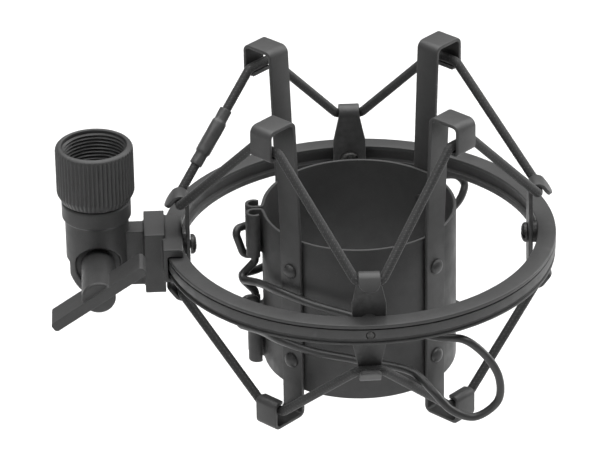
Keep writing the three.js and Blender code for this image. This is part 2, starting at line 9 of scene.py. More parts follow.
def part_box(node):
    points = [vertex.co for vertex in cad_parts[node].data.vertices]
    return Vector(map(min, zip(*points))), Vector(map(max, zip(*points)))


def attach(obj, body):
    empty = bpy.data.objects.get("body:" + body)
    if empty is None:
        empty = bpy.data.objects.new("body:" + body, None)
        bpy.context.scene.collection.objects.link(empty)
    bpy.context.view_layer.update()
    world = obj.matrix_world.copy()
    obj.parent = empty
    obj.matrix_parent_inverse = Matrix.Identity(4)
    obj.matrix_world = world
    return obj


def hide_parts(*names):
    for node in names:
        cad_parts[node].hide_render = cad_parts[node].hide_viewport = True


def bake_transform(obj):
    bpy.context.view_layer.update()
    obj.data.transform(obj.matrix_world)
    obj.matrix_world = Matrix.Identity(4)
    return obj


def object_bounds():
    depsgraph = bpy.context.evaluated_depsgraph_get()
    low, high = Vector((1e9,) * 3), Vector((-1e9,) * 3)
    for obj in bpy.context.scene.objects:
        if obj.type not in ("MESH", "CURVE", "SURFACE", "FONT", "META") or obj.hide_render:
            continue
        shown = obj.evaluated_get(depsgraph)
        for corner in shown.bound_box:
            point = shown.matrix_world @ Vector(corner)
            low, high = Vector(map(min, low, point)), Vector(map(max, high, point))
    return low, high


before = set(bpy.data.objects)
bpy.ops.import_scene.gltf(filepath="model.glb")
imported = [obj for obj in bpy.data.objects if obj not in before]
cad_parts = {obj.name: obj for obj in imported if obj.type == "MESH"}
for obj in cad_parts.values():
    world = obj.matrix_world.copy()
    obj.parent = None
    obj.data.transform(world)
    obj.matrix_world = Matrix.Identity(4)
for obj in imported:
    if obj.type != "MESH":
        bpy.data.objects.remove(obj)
cad_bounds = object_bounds()

# Everything is drawn in millimetres about the basket's axis, with Z = 0 on the ring's top face.
MM = 0.001
ring_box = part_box("outer_ring")
CENTRE = np.array([
    (ring_box[0][0] + ring_box[1][0]) / 2,
    (ring_box[0][1] + ring_box[1][1]) / 2,
    ring_box[1][2],
])


def local_box(node):
    low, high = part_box(node)
    return (np.array(low) - CENTRE) / MM, (np.array(high) - CENTRE) / MM


# ---- driving dimensions ----
GAP = 0.3
SEAT = 0.15

ring_low, ring_high = local_box("outer_ring")
RING_R = ring_high[0]
RING_HEIGHT = -ring_low[2]
RING_MID = -RING_HEIGHT / 2
RING_INNER_R = 44.2

collar_low, collar_high = local_box("knurled_collar")
COLLAR_X = (collar_low[0] + collar_high[0]) / 2
COLLAR_R = (collar_high[0] - collar_low[0]) / 2
COLLAR_TOP = collar_high[2]
COLLAR_LOW = collar_low[2]
COLLAR_FLOOR = 4
NECK_R = 4.2
THREAD_R = 7.6
THREAD_PITCH = 25.4 / 27
THREAD_DEPTH = 0.5
KNURL_TEETH = 54
KNURL_DEPTH = 0.3

HOOK_THICK = 1
HOOK_R = 42.6
HOOK_REACH = 14.8
HOOK_FOLD_R = 1.8
HOOK_LEAN = math.radians(36)
HOOK_TIP_R = 47.8
HOOK_WIDE = 8.3
HOOK_NARROW = 5.3
HOOK_BOSS_R = 2.6
FOLD_CENTRE_R = HOOK_R + HOOK_FOLD_R
FOLD_Z = HOOK_REACH - HOOK_FOLD_R - HOOK_THICK / 2
SCREW_R = 1.1
SCREW_HEAD_R = 2.5
LEFT_SCREW_END = 52  # it goes on into the bracket
HOOK_EXIT = 3.1  # where the cord bends, beside a hook's middle

shell_low, shell_high = local_box("basket_shell")
SHELL_R = 24.2
SHELL_TOP = shell_high[2]
SHELL_LOW = shell_low[2]
WALL = 0.8
CURL_R = 1.7
CURL_X = -26.1
CURL_Y = 2.35
CURL_GAP_TOP = -5
CURL_GAP_LOW = -20

STRAP_WIDTH = 6.5
STRAP_THICK = 1
STRAP_R = SHELL_R + SEAT + STRAP_THICK / 2
STRAP_TOP = 40.7
STRAP_LOW = -41.3
STRAP_TAB_R = 34.8
STRAP_TOP_LIP = 33.3
STRAP_LOW_LIP = -34.4
STRAP_LIP = 2.6
STRAP_LEAN = 1.6
RIVET_Z = {"upper": -1.6, "lower": -26.7}
RIVET_HEAD_R = 1.95
RIVET_HEAD_HEIGHT = 1.2

WIRE_R = 1
CORD_R = 1.2
CORD_STRAP_R = 32.8
SLEEVE_R = 1.95
SLEEVE_LENGTH = 15.8
SLEEVE_PLACE = {"upper": 0.545, "lower": 0.5}  # share of the run from strap to hook
BRAID_STEP = 0.17
BRAID_LAY = 4.4
BRAID_STRANDS = 8
BRAID_RELIEF = 0.2

STRAP_ANGLES = {"front_left": 225, "front_right": 315, "rear_left": 135, "rear_right": 45}
HOOK_ANGLES = {"left": 180, "right": 0, "front": 270, "rear": 90}


# ---- outlines and paths ----
def unit(vector):
    return vector / np.linalg.norm(vector)


def filleted(corners, radius, steps, closed=False):
    """Replaces each corner by an arc, as far as the two sides beside it leave room."""
    corners = [np.array(c, float) for c in corners]
    count = len(corners)
    result = []
    for i, corner in enumerate(corners):
        if not closed and i in (0, count - 1):
            result.append(corner)
            continue
        before = corners[i - 1] - corner
        after = corners[(i + 1) % count] - corner
        reach = 0.45 * min(np.linalg.norm(before), np.linalg.norm(after))
        before, after = unit(before), unit(after)
        half = math.acos(float(np.clip(before @ after, -1, 1))) / 2
        turn = math.pi - 2 * half
        if turn < 0.03:
            result.append(corner)
            continue
        wanted = radius[i] if isinstance(radius, (list, tuple)) else radius
        tangent = min(wanted / math.tan(half), reach)
        arc_r = tangent * math.tan(half)
        middle = corner + unit(before + after) * arc_r / math.sin(half)
        start = corner + before * tangent - middle
        end = corner + after * tangent - middle
        parts = max(1, round(steps * turn / math.pi))
        for k in range(parts + 1):
            share = k / parts
            a = math.sin((1 - share) * turn) / math.sin(turn)
            b = math.sin(share * turn) / math.sin(turn)
            result.append(middle + start * a + end * b)
    return result


def evenly(points, step):
    """The same path with points about one step apart."""
    points = np.array(points, float)
    lengths = np.linalg.norm(np.diff(points, axis=0), axis=1)
    along = np.concatenate([[0], np.cumsum(lengths)])
    places = np.linspace(0, along[-1], max(2, round(along[-1] / step)) + 1)
    return np.stack([np.interp(places, along, points[:, k]) for k in range(3)], axis=1)


def spline(points, per_span):
    """A centripetal Catmull-Rom curve through the points."""
    points = [np.array(p, float) for p in points]
    ends = [2 * points[0] - points[1]], [2 * points[-1] - points[-2]]
    padded = ends[0] + points + ends[1]
    result = []
    for i in range(1, len(padded) - 2):
        p = padded[i - 1:i + 3]
        knots = [0.0]
        for k in range(3):
            knots.append(knots[-1] + math.sqrt(np.linalg.norm(p[k + 1] - p[k])))
        for t in np.linspace(knots[1], knots[2], per_span, endpoint=False):
            a = [
                (p[k] * (knots[k + 1] - t) + p[k + 1] * (t - knots[k])) / (knots[k + 1] - knots[k])
                for k in range(3)
            ]
            b = [
                (a[k] * (knots[k + 2] - t) + a[k + 1] * (t - knots[k])) / (knots[k + 2] - knots[k])
                for k in range(2)
            ]
            result.append((b[0] * (knots[2] - t) + b[1] * (t - knots[1])) / (knots[2] - knots[1]))
    result.append(points[-1])
    return result


def frames_along(points, closed):
    """Two side directions at each point of a path, turning as little as possible."""
    points = np.array(points, float)
    if closed:
        tangents = np.roll(points, -1, axis=0) - np.roll(points, 1, axis=0)
    else:
        tangents = np.gradient(points, axis=0)
    tangents /= np.linalg.norm(tangents, axis=1)[:, None]
    start = np.cross(tangents[0], [0.0, 0.0, 1.0])
    if np.linalg.norm(start) < 0.1:
        start = np.cross(tangents[0], [0.0, 1.0, 0.0])
    sides = [unit(start)]
    for tangent in tangents[1:]:
        side = sides[-1] - tangent * (sides[-1] @ tangent)
        sides.append(unit(side))
    sides = np.array(sides)
    ups = np.cross(tangents, sides)
    if closed:
        last = sides[-1] - tangents[0] * (sides[-1] @ tangents[0])
        slip = math.atan2(last @ ups[0], last @ sides[0])
        share = np.linspace(0, 1, len(points))[:, None] * -slip
        turned_sides = sides * np.cos(share) + ups * np.sin(share)
        ups = ups * np.cos(share) - sides * np.sin(share)
        sides = turned_sides
    return sides, ups


def on_circle(radius, angle, side, z):
    a = math.radians(angle)
    return np.array([
        radius * math.cos(a) - side * math.sin(a),
        radius * math.sin(a) + side * math.cos(a),
        z,
    ])


# ---- surfaces ----
def lofted(rows, joined=False):
    """A closed surface through equal loops of points: capped at its ends, or joined end to end."""
    rows = np.array(rows, float)
    count, around = rows.shape[:2]
    grid = np.arange(count * around).reshape(count, around)
    faces = []
    for i in range(count if joined else count - 1):
        here, there = grid[i], grid[(i + 1) % count]
        for k in range(around):
            n = (k + 1) % around
            faces.append((here[k], here[n], there[n], there[k]))
    if not joined:
        faces.append(tuple(grid[0][::-1]))
        faces.append(tuple(grid[-1]))
    return rows.reshape(-1, 3), faces


def turned(profile, segments, shape=None, closed=False):
    """A surface turned about Z from [radius, height] pairs.

    shape(angles, row) may change a row's radius from place to place.
    """
    angles = np.arange(segments) * 2 * math.pi / segments
    points = []
    starts = []
    for row, (radius, z) in enumerate(profile):
        starts.append(len(points))
        if radius < 1e-6:
            points.append((0, 0, z))
            continue
        radii = radius + (shape(angles, row) if shape else np.zeros(segments))
        points += list(zip(radii * np.cos(angles), radii * np.sin(angles), [z] * segments))
    faces = []
    count = len(profile)
    for row in range(count if closed else count - 1):
        following = (row + 1) % count
        a, b = starts[row], starts[following]
        for k in range(segments):
            n = (k + 1) % segments
            if profile[row][0] < 1e-6:
                faces.append((a, b + n, b + k))
            elif profile[following][0] < 1e-6:
                faces.append((a + k, a + n, b))
            else:
                faces.append((a + k, a + n, b + n, b + k))
    return np.array(points, float), faces


def bent_bar(line, widths, thickness, corner):
    """A flat bar with rounded edges. Its centre line lies in the X-Z plane and its width along Y."""
    line = np.array(line, float)
    tangents = np.gradient(line, axis=0)
    tangents /= np.linalg.norm(tangents, axis=1)[:, None]
    rows = []
    for point, tangent, width in zip(line, tangents, widths):
        normal = np.array([-tangent[2], 0, tangent[0]])
        a, b = thickness / 2, width / 2
        outline = filleted([(-a, -b), (a, -b), (a, b), (-a, b)], min(corner, 0.8 * b), 6, closed=True)
        rows.append([point + u * normal + v * np.array([0, 1, 0]) for u, v in outline])
    return lofted(rows)


def tube(points, radius, sides, joined=False, tips=()):
    side, up = frames_along(points, joined)
    angles = np.arange(sides) * 2 * math.pi / sides
    radii = np.full(len(points), float(radius))
    for place, share in tips:
        radii[place] *= share
    ring = np.cos(angles)[None, :, None] * side[:, None] + np.sin(angles)[None, :, None] * up[:, None]
    rows = np.array(points, float)[:, None] + ring * radii[:, None, None]
    return lofted(rows, joined)


# ---- placing ----
def turn_z(angle):
    return Matrix.Rotation(math.radians(angle), 4, "Z")


def radially(angle, z):
    return turn_z(angle) @ Matrix.Translation((0, 0, z)) @ Matrix.Rotation(math.pi / 2, 4, "Y")


def moved(surface, matrix):
    points, faces = surface
    matrix = np.array(matrix)
    return points @ matrix[:3, :3].T + matrix[:3, 3], faces


def bare_object(name, surface, sharp=35):
    points, faces = surface
    mesh = bpy.data.meshes.new(name)
    mesh.from_pydata([tuple(p) for p in CENTRE + np.array(points) * MM], [], faces)
    tidy = bmesh.new()
    tidy.from_mesh(mesh)
    bmesh.ops.recalc_face_normals(tidy, faces=tidy.faces)
    tidy.to_mesh(mesh)
    tidy.free()
    mesh.shade_smooth()
    mesh.set_sharp_from_angle(angle=math.radians(sharp))
    thing = bpy.data.objects.new(name, mesh)
    bpy.context.scene.collection.objects.link(thing)
    return thing


def made_final(thing):
    """Turns the piece's modifiers into its mesh."""
    graph = bpy.context.evaluated_depsgraph_get()
    graph.update()
    mesh = bpy.data.meshes.new_from_object(thing.evaluated_get(graph))
    thing.modifiers.clear()
    thing.data = mesh


def cut(thing, surfaces, operation="DIFFERENCE"):
    """Takes each surface's inside away from the piece, or adds it to the piece."""
    for surface in surfaces:
        cutter = bare_object("cutter", surface)
        step = thing.modifiers.new("cut", "BOOLEAN")
        step.operation = operation
        step.solver = "EXACT"
        step.object = cutter
        made_final(thing)
        bpy.data.objects.remove(cutter)
    thing.data.shade_smooth()
    thing.data.set_sharp_from_angle(angle=math.radians(35))


def finish_piece(thing, node, material, body=None):
    thing.name = node + "_detail"
    thing.data.materials.clear()
    thing.data.materials.append(material)
    if body:
        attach(thing, body)
    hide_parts(node)
    return thing


# ---- materials ----
class Nodes:
    """Short ways to add nodes to one material."""

    def __init__(self, name):
        self.material = bpy.data.materials.new(name)
        self.material.use_nodes = True
        self.tree = self.material.node_tree
        self.shader = self.tree.nodes["Principled BSDF"]
        place = self.tree.nodes.new("ShaderNodeTexCoord")
        self.place = place.outputs["Object"]

    def add(self, kind, links=(), **values):
        node = self.tree.nodes.new(kind)
        for key, value in values.items():
            setattr(node, key, value)
        for socket, source in links:
            if isinstance(source, bpy.types.NodeSocket):
                self.tree.links.new(source, node.inputs[socket])
            else:
                node.inputs[socket].default_value = source
        return node

    def noise(self, size_mm, detail=2, roughness=0.5):
        links = [("Vector", self.place), ("Scale", 1 / (size_mm * MM)),
                 ("Detail", detail), ("Roughness", roughness)]
        return self.add("ShaderNodeTexNoise", links).outputs["Fac"]

    def ranged(self, value, low, high, out_low=0.0, out_high=1.0):
        links = [("Value", value), ("From Min", low), ("From Max", high),
                 ("To Min", out_low), ("To Max", out_high)]
        return self.add("ShaderNodeMapRange", links).outputs["Result"]

    def maths(self, operation, a, b):
        return self.add("ShaderNodeMath", [(0, a), (1, b)], operation=operation).outputs[0]

    def mixed(self, share, first, second):
        links = [(0, share), (6, first), (7, second)]
        return self.add("ShaderNodeMix", links, data_type="RGBA").outputs[2]

    def bump(self, height, distance_mm, strength, under=None):
        links = [("Height", height), ("Distance", distance_mm * MM), ("Strength", strength)]
        if under is not None:
            links.append(("Normal", under))
        return self.add("ShaderNodeBump", links).outputs["Normal"]

    def join(self, socket, source):
        self.tree.links.new(source, self.shader.inputs[socket])

    def value(self, socket, value):
        self.shader.inputs[socket].default_value = value


def grey(level, warmth=0.0):
    return (level * (1 + warmth), level, level * (1 - warmth), 1)


def painted(name, level, low_rough, high_rough, grain_mm=0.28, bump=0.22, edge_wear_and_highlight_share=0.3):
    """Satin paint: fine orange peel, soft cloudiness, a little handling shine and paler corners, partly
    worn paint and partly a painted highlight along the edges.
    """
    n = Nodes(name)
    clouds = n.ranged(n.noise(9, 3), 0.3, 0.7)
    specks = n.ranged(n.noise(0.35, 1), 0.62, 0.72)
    coat = n.mixed(clouds, grey(level * 0.9), grey(level * 1.1))
    dusty = n.mixed(n.maths("MULTIPLY", specks, 0.25), coat, grey(level * 1.9))
    edges = n.add("ShaderNodeNewGeometry").outputs["Pointiness"]
    # paler convex edges: partly paint wear, partly a painted highlight
    edge_wear_and_highlight = n.maths("MULTIPLY", n.ranged(edges, 0.52, 0.6), n.ranged(n.noise(1.6, 3), 0.35, 0.65))
    n.join("Base Color", n.mixed(n.maths("MULTIPLY", edge_wear_and_highlight, edge_wear_and_highlight_share), dusty, grey(level * 2.6)))
    n.join("Roughness", n.ranged(n.noise(3.5, 3), 0.3, 0.7, low_rough, high_rough))
    n.value("Metallic", 0.0)
    n.value("IOR", 1.5)
    peel = n.bump(n.noise(grain_mm, 3, 0.55), 0.03, bump)
    n.join("Normal", n.bump(n.noise(4.5, 1), 0.05, 0.12, peel))
    return n.material


def black_oxide(name):
    n = Nodes(name)
    streaks = n.ranged(n.noise(0.5, 3), 0.35, 0.7)
    n.join("Base Color", n.mixed(streaks, grey(0.035), grey(0.09, 0.02)))
    n.value("Metallic", 0.7)
    n.join("Roughness", n.ranged(n.noise(0.8, 2), 0.3, 0.7, 0.34, 0.5))
    n.join("Normal", n.bump(n.noise(0.2, 2), 0.01, 0.25))
    return n.material


def braided(name):
    """Woven yarn: the crowns of the stitches are painted paler as a highlight and the gaps between them
    painted darker as shade, with pale painted glints on some crowns.
    """
    n = Nodes(name)
    crown = n.add("ShaderNodeAttribute", attribute_name="crown").outputs["Fac"]
    painted_glint = n.add("ShaderNodeAttribute", attribute_name="painted_glint").outputs["Fac"]
    fibre = n.noise(0.12, 2)
    # painted shade and highlight: gaps between stitches darker, stitch crowns paler
    painted_stitch_shading = n.mixed(n.ranged(crown, 0.2, 1.0), grey(0.009), grey(0.03))
    # painted glints: pale marks on the flagged stitch crowns stand in for the braid's highlights
    n.join("Base Color", n.mixed(n.maths("MULTIPLY", painted_glint, n.ranged(fibre, 0.35, 0.6)), painted_stitch_shading, grey(0.1)))
    n.join("Roughness", n.ranged(fibre, 0.3, 0.7, 0.55, 0.75))
    n.value("Sheen Weight", 0.15)
    n.value("Sheen Roughness", 0.4)
    n.join("Normal", n.bump(fibre, 0.02, 0.5))
    return n.material


def shrunk_tube(name):
    """Heat-shrunk plastic: glossy, with soft lengthwise ripples."""
    n = Nodes(name)
    clouds = n.ranged(n.noise(2.2, 3), 0.3, 0.7)
    n.join("Base Color", n.mixed(clouds, grey(0.04), grey(0.062)))
    n.join("Roughness", n.ranged(n.noise(1.2, 2), 0.3, 0.7, 0.3, 0.46))
    n.join("Normal", n.bump(n.noise(1.4, 2), 0.12, 0.35))
    return n.material


MATERIALS = {
    "collar": painted("collar_paint", 0.030, 0.42, 0.55, 0.22, 0.15, 0.45),
    "paint": painted("cast_paint", 0.033, 0.44, 0.58, 0.3, 0.26, 0.3),
    "handle_paint": painted("handle_paint", 0.036, 0.42, 0.55, 0.3, 0.22, 0.45),
    "ring_paint": painted("ring_paint", 0.035, 0.4, 0.54, 0.26, 0.2, 0.35),
    "hook_paint": painted("hook_paint", 0.035, 0.42, 0.55, 0.24, 0.16, 0.4),
    "shell_paint": painted("shell_paint", 0.030, 0.46, 0.6, 0.24, 0.2, 0.4),
    "strap_paint": painted("strap_paint", 0.035, 0.42, 0.55, 0.24, 0.16, 0.4),
    "wire": painted("wire_paint", 0.024, 0.3, 0.42, 0.3, 0.1, 0.25),
    "rivet": painted("rivet_paint", 0.029, 0.34, 0.46, 0.24, 0.12, 0.35),
    "blacked_steel": black_oxide("blacked_steel"),
    "cord": braided("braided_cord"),
    "sleeve": shrunk_tube("shrunk_tube"),
}


# ---- stand adapter ----
def knurled_collar():
    """Straight knurl outside, and a real helical stand thread inside."""
    low, top = COLLAR_LOW, COLLAR_TOP
    floor = low + COLLAR_FLOOR
    chamfer = 0.95
    bore_r = NECK_R + GAP
    rim = 1.3
    outside = [(bore_r, low), (COLLAR_R - chamfer - 0.15, low), (COLLAR_R - chamfer, low + 0.12)]
    outside += [(COLLAR_R - 0.04, low + 1.95), (COLLAR_R, low + 2.2)]
    for a in np.radians(np.arange(0, 91, 10)):
        outside.append((COLLAR_R - rim + rim * math.cos(a), top - rim + rim * math.sin(a)))
    outside += [(THREAD_R + 0.7, top), (THREAD_R + 0.5, top - 0.15), (THREAD_R + 0.4, top - 0.45)]
    steps_per_turn = 7
    thread_top = top - 0.5
    thread_low = floor + 0.5
    count = round((thread_top - thread_low) / THREAD_PITCH * steps_per_turn)
    thread_z = np.linspace(thread_top, thread_low, count)
    rows = list(outside)
    rows += [(THREAD_R, z) for z in thread_z]
    rows += [(THREAD_R + 0.2, floor), (bore_r + 0.1, floor), (bore_r, floor - 0.2)]
    segments = KNURL_TEETH * 6
    tooth = np.array([0.0, 0.0, -0.45, -1.0, -1.0, -0.45])

    def shape(angles, row):
        if row < len(outside):
            knurled = COLLAR_R + KNURL_DEPTH * np.tile(tooth, KNURL_TEETH)
            return np.minimum(knurled - outside[row][0], 0)
        place = row - len(outside)
        if place >= count:
            return np.zeros(len(angles))
        phase = (thread_z[place] / THREAD_PITCH + angles / (2 * math.pi)) % 1
        ridge = 1 - np.abs(2 * phase - 1)
        ridge = ridge * ridge * (3 - 2 * ridge)
        fade = min(1, place / steps_per_turn, (count - 1 - place) / steps_per_turn)
        return THREAD_DEPTH * (0.8 - ridge * fade)

    surface = turned(rows, segments, shape, closed=True)
    return bare_object("collar", moved(surface, Matrix.Translation((COLLAR_X, 0, 0))), sharp=28)


def softened(node, voxel_mm, passes):
    """The CAD solid with its corners rounded, as a casting has them."""
    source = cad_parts[node]
    mesh = source.data.copy()
    grow = 1 / MM
    mesh.transform(Matrix.Scale(grow, 4))
    thing = bpy.data.objects.new(node + "_soft", mesh)
    bpy.context.scene.collection.objects.link(thing)
    remesh = thing.modifiers.new("remesh", "REMESH")
    remesh.mode = "VOXEL"
    remesh.voxel_size = voxel_mm
    smooth = thing.modifiers.new("smooth", "SMOOTH")
    smooth.factor = 0.5
    smooth.iterations = passes
    made_final(thing)
    thing.data.transform(Matrix.Scale(MM, 4))
    thing.data.shade_smooth()
    return thing


def slotted(surface, matrix, width, depth, reach, top):
    """A screw whose head, which ends at the local height top, has a driver slot."""
    slot = [(-reach, -width / 2), (reach, -width / 2), (reach, width / 2), (-reach, width / 2)]
    rows = [[(x, y, z) for x, y in slot] for z in (top - depth, top + 1)]
    thing = bare_object("screw", moved(surface, matrix))
    cut(thing, [moved(lofted(rows), matrix)])
    return thing


def retaining_screw():
    low, high = local_box("retaining_screw")
    head_top = high[2]
    head_r = (high[0] - low[0]) / 2
    head_low = head_top - 1.7
    profile = [(0, low[2]), (1.6, low[2]), (2, low[2] + 0.4), (2, head_low)]
    profile += [(head_r - 0.15, head_low), (head_r, head_low + 0.15), (head_r, head_low + 0.9)]
    dome = 6
    for k in range(1, dome + 1):
        a = math.pi / 2 * k / dome
        radius = head_r * math.cos(a) ** 0.6 if k < dome else 0
        profile.append((radius, head_low + 0.9 + 0.8 * math.sin(a)))
    matrix = Matrix.Translation((COLLAR_X, 0, 0)) @ turn_z(28)
    return slotted(turned(profile, 48), matrix, 1.1, 0.9, head_r + 1, head_top)


# ---- ring ----
def outer_ring():
    inner, outer, low = RING_INNER_R, RING_R, -RING_HEIGHT
    lip, recess, groove = outer - 0.1, outer - 0.7, outer - 0.6
    corners = [
        (inner, low), (lip, low), (lip, low + 0.45), (recess, low + 0.6), (recess, -3.8),
        (outer, -3.65), (outer, -1.35), (groove, -1.28), (groove, -1.02), (outer, -0.95),
        (outer, 0), (inner + 0.2, 0), (inner + 0.2, -0.85),
        (inner + 1, -1.1), (inner + 1, -3.75), (inner, -4.05),
    ]
    radius = [0.2, 0.18, 0.18, 0.15, 0.15, 0.2, 0.15, 0.08, 0.08, 0.12, 0.3, 0.2, 0.15, 0.2, 0.2, 0.15]
    profile = [(r, z) for r, z in filleted(corners, radius, 8, closed=True)]
    thing = bare_object("ring", turned(profile, 320, closed=True), sharp=50)
    hole_r = SCREW_R + 0.05
    hole = [(0, inner - 4), (hole_r, inner - 4), (hole_r, outer + 4), (0, outer + 4)]
    cut(thing, [moved(turned(hole, 24), radially(angle, RING_MID)) for angle in HOOK_ANGLES.values()])
    return thing


def hook_half_line(tip_r):
    """[radius, height, width] along half of a hook, from its middle over the fold to the tip."""
    line = []
    for z in np.arange(0, FOLD_Z, 0.8):
        share = min(max((z - RING_HEIGHT) / (FOLD_Z - RING_HEIGHT), 0), 1)
        line.append((HOOK_R, z, HOOK_WIDE + (HOOK_NARROW - HOOK_WIDE) * share))
    for a in np.linspace(math.pi, HOOK_LEAN, 26):
        r = FOLD_CENTRE_R + HOOK_FOLD_R * math.cos(a)
        line.append((r, FOLD_Z + HOOK_FOLD_R * math.sin(a), HOOK_NARROW))
    end_r, end_z, _ = line[-1]
    tab_length = (HOOK_TIP_R - end_r) / math.sin(HOOK_LEAN)
    from_tips = list(np.arange(tab_length - 0.8, tip_r, -0.8))
    from_tips += [tip_r * (1 - math.cos(a)) for a in np.radians(np.arange(90, 9, -10))]
    for from_tip in from_tips:
        along = tab_length - from_tip
        inset = tip_r - math.sqrt(tip_r ** 2 - max(tip_r - from_tip, 0) ** 2)
        width = HOOK_NARROW - 2 * inset
        line.append((end_r + along * math.sin(HOOK_LEAN), end_z - along * math.cos(HOOK_LEAN), width))
    return line


def ring_hook(angle):
    """The upper tab ends in a leaf tip and the lower tab in a squarer one."""
    upper = hook_half_line(HOOK_NARROW / 2)
    lower = hook_half_line(1.2)
    rows = [(r, -z, width) for r, z, width in reversed(lower[1:])] + upper
    line = [(r, 0, z + RING_MID) for r, z, _ in rows]
    widths = [width for _, _, width in rows]
    thing = bare_object("hook", moved(bent_bar(line, widths, HOOK_THICK, 0.24), turn_z(angle)), sharp=50)
    boss_end = RING_INNER_R + 0.9
    boss = [(0, HOOK_R), (HOOK_BOSS_R, HOOK_R), (HOOK_BOSS_R, boss_end), (0, boss_end)]
    hole_r = SCREW_R + 0.05
    hole = [(0, HOOK_R - 3), (hole_r, HOOK_R - 3), (hole_r, boss_end + 1), (0, boss_end + 1)]
    cut(thing, [moved(turned(boss, 32), radially(angle, RING_MID))], "UNION")
    cut(thing, [moved(turned(hole, 24), radially(angle, RING_MID))])
    return thing


def hook_screw(angle, slot_turn, end):
    under = HOOK_R - HOOK_THICK / 2 - SEAT
    profile = [(0, end), (SCREW_R - 0.25, end), (SCREW_R, end - 0.25), (SCREW_R, under)]
    profile += [(SCREW_HEAD_R - 0.1, under), (SCREW_HEAD_R, under - 0.12), (SCREW_HEAD_R, under - 0.45)]
    dome = 7
    for k in range(1, dome + 1):
        a = math.pi / 2 * k / dome
        radius = SCREW_HEAD_R * math.cos(a) ** 0.75 if k < dome else 0
        profile.append((radius, under - 0.45 - 1.05 * math.sin(a)))
    matrix = radially(angle, RING_MID) @ turn_z(slot_turn)
    slot = [(-4, -0.42), (4, -0.42), (4, 0.42), (-4, 0.42)]
    rows = [[(x, y, z) for x, y in slot] for z in (under - 2.5, under - 0.6)]
    thing = bare_object("screw", moved(turned(profile, 36), matrix))
    cut(thing, [moved(lofted(rows), matrix)])
    return thing


# ---- basket ----
def shell_path():
    """The wall's centre line seen from above: one rolled edge, the barrel, the other rolled edge."""
    points = []

    def arc(cx, cy, r, start, end, steps):
        for i in range(steps + 1):
            a = math.radians(start + (end - start) * i / steps)
            points.append((cx + r * math.cos(a), cy + r * math.sin(a)))

    mid_r = SHELL_R - WALL / 2
    bend = 1
    arc(CURL_X, -CURL_Y, CURL_R, -50, -270, 32)
    arc(-mid_r - 0.1 - bend, CURL_R - CURL_Y - bend, bend, 90, 10, 8)
    arc(0, 0, mid_r, 187, 360, 110)
    return points + [(x, -y) for x, y in points[:-1]][::-1]


def basket_shell():
    path = np.array([(x, y, 0) for x, y in shell_path()])
    tangents = np.gradient(path, axis=0)
    tangents /= np.linalg.norm(tangents, axis=1)[:, None]
    half = WALL / 2
    low, top = SHELL_LOW, SHELL_TOP
    outline = filleted([(-half, low), (half, low), (half, top), (-half, top)], 0.3, 8, closed=True)
    rows = []
    for point, tangent in zip(path, tangents):
        normal = np.array([-tangent[1], tangent[0], 0])
        rows.append([point + u * normal + np.array([0, 0, z]) for u, z in outline])
    thing = bare_object("shell", lofted(rows), sharp=50)
    inner = -(SHELL_R - WALL / 2) - 0.35
    corners = [(CURL_X - 5, -6), (inner, -6), (inner, 6), (CURL_X - 5, 6)]
    window = [[(x, y, z) for x, y in corners] for z in (CURL_GAP_LOW, CURL_GAP_TOP)]
    cut(thing, [lofted(window)])
    return thing


def strap(angle):
    corners = [
        (STRAP_TAB_R - STRAP_LIP, STRAP_LOW_LIP - 0.5),
        (STRAP_TAB_R, STRAP_LOW_LIP),
        (STRAP_TAB_R, STRAP_LOW),
        (STRAP_R, STRAP_LOW),
        (STRAP_R, SHELL_TOP),
        (STRAP_R + STRAP_LEAN, STRAP_TOP),
        (STRAP_TAB_R, STRAP_TOP),
        (STRAP_TAB_R, STRAP_TOP_LIP),
        (STRAP_TAB_R - STRAP_LIP, STRAP_TOP_LIP),
    ]
    radius = [0, 1.1, 1.3, 1.3, 30, 1.5, 1.5, 1.1, 0]
    line = filleted([(r, 0, z) for r, z in corners], radius, 20)
    widths = [STRAP_WIDTH] * len(line)
    widths[0] = widths[-1] = STRAP_WIDTH - 0.5
    return bare_object("strap", moved(bent_bar(line, widths, STRAP_THICK, 0.26), turn_z(angle)), sharp=50)


def rivet(angle, z):
    under = STRAP_R + STRAP_THICK / 2 + 0.02
    inside = SHELL_R - WALL - 0.02
    profile = [(0, inside - 0.35), (1.4, inside - 0.35), (1.65, inside - 0.25), (1.7, inside - 0.1)]
    profile += [(1.7, inside), (1, inside), (1, under), (RIVET_HEAD_R - 0.05, under)]
    dome = 10
    for k in range(dome + 1):
        a = math.pi / 2 * k / dome
        radius = RIVET_HEAD_R * math.cos(a) if k < dome else 0
        profile.append((radius, under + 0.12 + RIVET_HEAD_HEIGHT * math.sin(a)))
    return bare_object("rivet", moved(turned(profile, 36), radially(angle, z)), sharp=50)


# ---- squeeze handles ----
FRONT_LOOP = [
    (-25.4, -9.6, -9.2), (-20.6, -18.4, -6.9), (-12, -25.4, -7.2), (-3.2, -28.4, -8.8),
    (8, -32, -11), (17.6, -38.6, -9.9), (23.2, -42, -8.9), (28.7, -42, -14.1),
    (31.6, -42, -20.2), (31.2, -42, -26.4), (25.6, -42, -30.6), (20, -42.2, -28.4),
    (15.4, -40.4, -23.8), (11, -35.2, -21.4), (-2.5, -28.8, -21), (-12.5, -25.2, -20.4),
    (-20.6, -18.4, -20.8), (-25.4, -9.6, -22.8),
]
REAR_LOOP = [
    (-25.4, 9.2, -2.2), (-19.2, 18.9, -5), (-10.4, 24.9, -6), (-1, 28.6, -7.2),
    (8, 33.4, -8.2), (16.5, 39.4, -9), (23.5, 44, -9.3), (28, 44.8, -9.9),
    (29.8, 44.4, -12), (29.4, 43, -13.6), (28, 41.4, -15.6), (24.7, 39.4, -17.8),
    (20, 36.8, -18.2), (14, 33.2, -17.2), (8, 30.6, -16.2), (-1, 28, -16.4),
    (-10.4, 24.9, -17.8), (-19.2, 18.9, -18), (-25.4, 9.2, -15.8),
]
